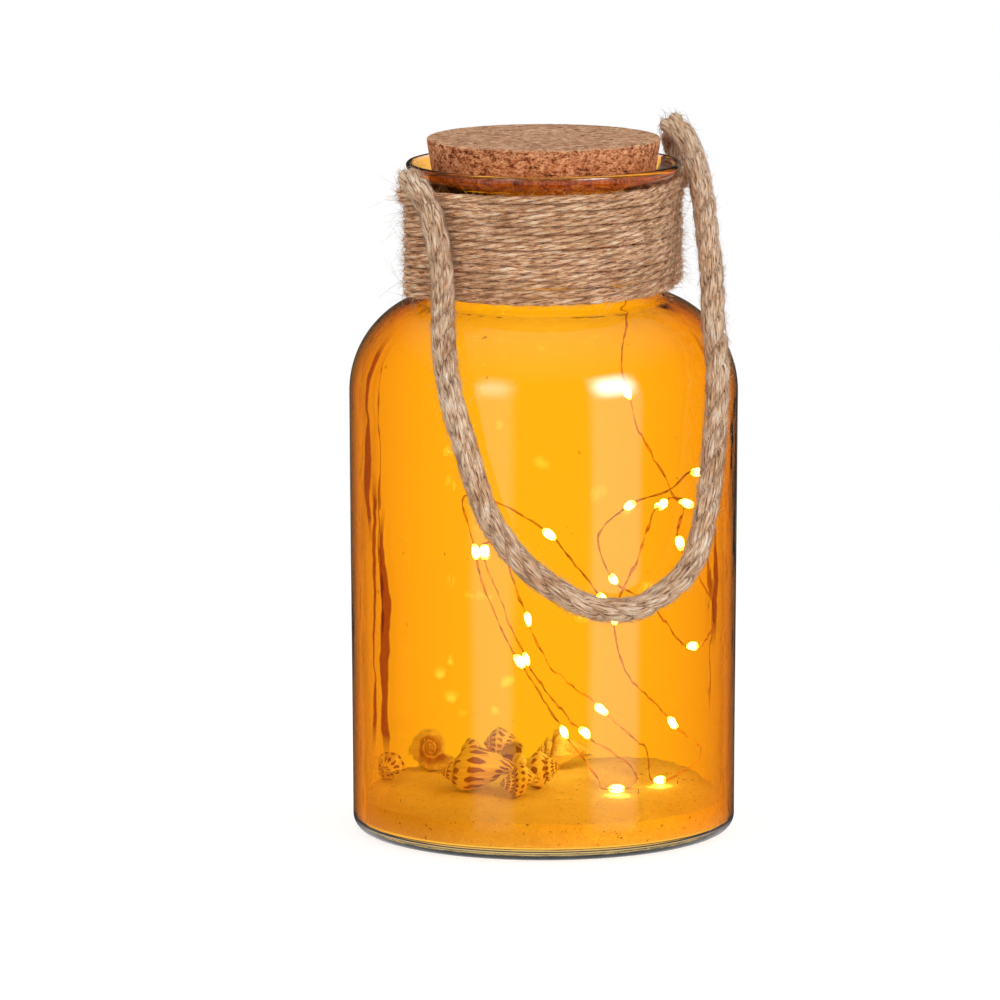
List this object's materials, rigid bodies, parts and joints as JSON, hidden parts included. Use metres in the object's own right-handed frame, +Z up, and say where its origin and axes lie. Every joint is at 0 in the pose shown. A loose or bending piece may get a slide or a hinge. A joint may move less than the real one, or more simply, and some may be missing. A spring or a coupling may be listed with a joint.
{
  "type": "led jar light",
  "caption": "Amber glass jar with a cork stopper, twine-wound neck and rope handle, holding sand, sea shells and a battery-powered string of small lights.",
  "frame": {"origin": "centre of the jar's base, on the surface that it stands on", "axes": "+Z up along the jar's axis, -Y towards the front where the rope handle hangs, +X to the right of the front"},
  "size_m": [0.12, 0.1276, 0.2207],
  "materials": {
    "amber_glass": "transparent amber lacquer on clear glass with bubbles",
    "cork": "pressed cork, matt",
    "jute_twine": "raw jute twine",
    "jute_rope": "raw twisted jute rope",
    "sand": "dry loose sand",
    "shell": "natural sea shell with brown markings",
    "case_plastic": "black moulded plastic",
    "slider_plastic": "white moulded plastic",
    "steel": "bright nickel plated",
    "board": "green circuit board",
    "grommet_rubber": "black rubber",
    "copper_wire": "enamelled copper",
    "led": "clear resin bead, lit warm white"
  },
  "bodies": {
    "jar": {"glass_jar": "amber_glass", "neck_twine": "jute_twine", "rope_end_left": "jute_rope", "rope_end_right": "jute_rope", "rope_fold_left": "jute_rope", "rope_fold_right": "jute_rope", "sand_bed": "sand", "shell_checkered": "shell", "shell_turban": "shell", "shell_spotted": "shell", "shell_domed": "shell", "shell_conch": "shell", "shell_cone": "shell", "shell_barred": "shell", "shell_murex": "shell", "shell_pale": "shell"},
    "handle": {"handle_rope": "jute_rope"},
    "lid": {"cork_lid": "cork", "battery_case": "case_plastic", "switch_cover": "case_plastic", "coin_cell_lower": "steel", "coin_cell_upper": "steel", "contact_roof": "steel", "contact_side": "steel", "circuit_board": "board", "switch_body": "steel", "wire_grommet": "grommet_rubber", "led_wire": "copper_wire", "led_01": "led", "led_02": "led", "led_03": "led", "led_04": "led", "led_05": "led", "led_06": "led", "led_07": "led", "led_08": "led", "led_09": "led", "led_10": "led", "led_11": "led", "led_12": "led", "led_13": "led", "led_14": "led", "led_15": "led", "led_16": "led", "led_17": "led", "led_18": "led", "led_19": "led", "led_20": "led", "led_21": "led", "led_22": "led"},
    "door": {"battery_door": "case_plastic", "door_screw": "steel"},
    "switch": {"switch_slider": "slider_plastic"}
  },
  "joints": [
    {"name": "handle_swing", "type": "hinge", "parent": "jar", "child": "handle", "pos_m": [0, -0.007, 0.212], "axis": [-1, 0, 0], "range_deg": [0, 180], "deforming": ["rope_fold_left", "rope_fold_right"]},
    {"name": "lid_lift", "type": "slide", "parent": "jar", "child": "lid", "axis": [0, 0, 1], "range_m": [0, 0.05], "deforming": ["led_wire", "led_01", "led_02", "led_03", "led_04", "led_05", "led_06", "led_07", "led_08", "led_09", "led_10", "led_11", "led_12", "led_13", "led_14", "led_15", "led_16", "led_17", "led_18", "led_19", "led_20", "led_21", "led_22"]},
    {"name": "door_pull", "type": "slide", "parent": "lid", "child": "door", "axis": [0, 0, -1], "range_m": [0, 0.01]},
    {"name": "switch_slide", "type": "slide", "parent": "lid", "child": "switch", "axis": [0, 1, 0], "range_m": [0, 0.003]}
  ]
}
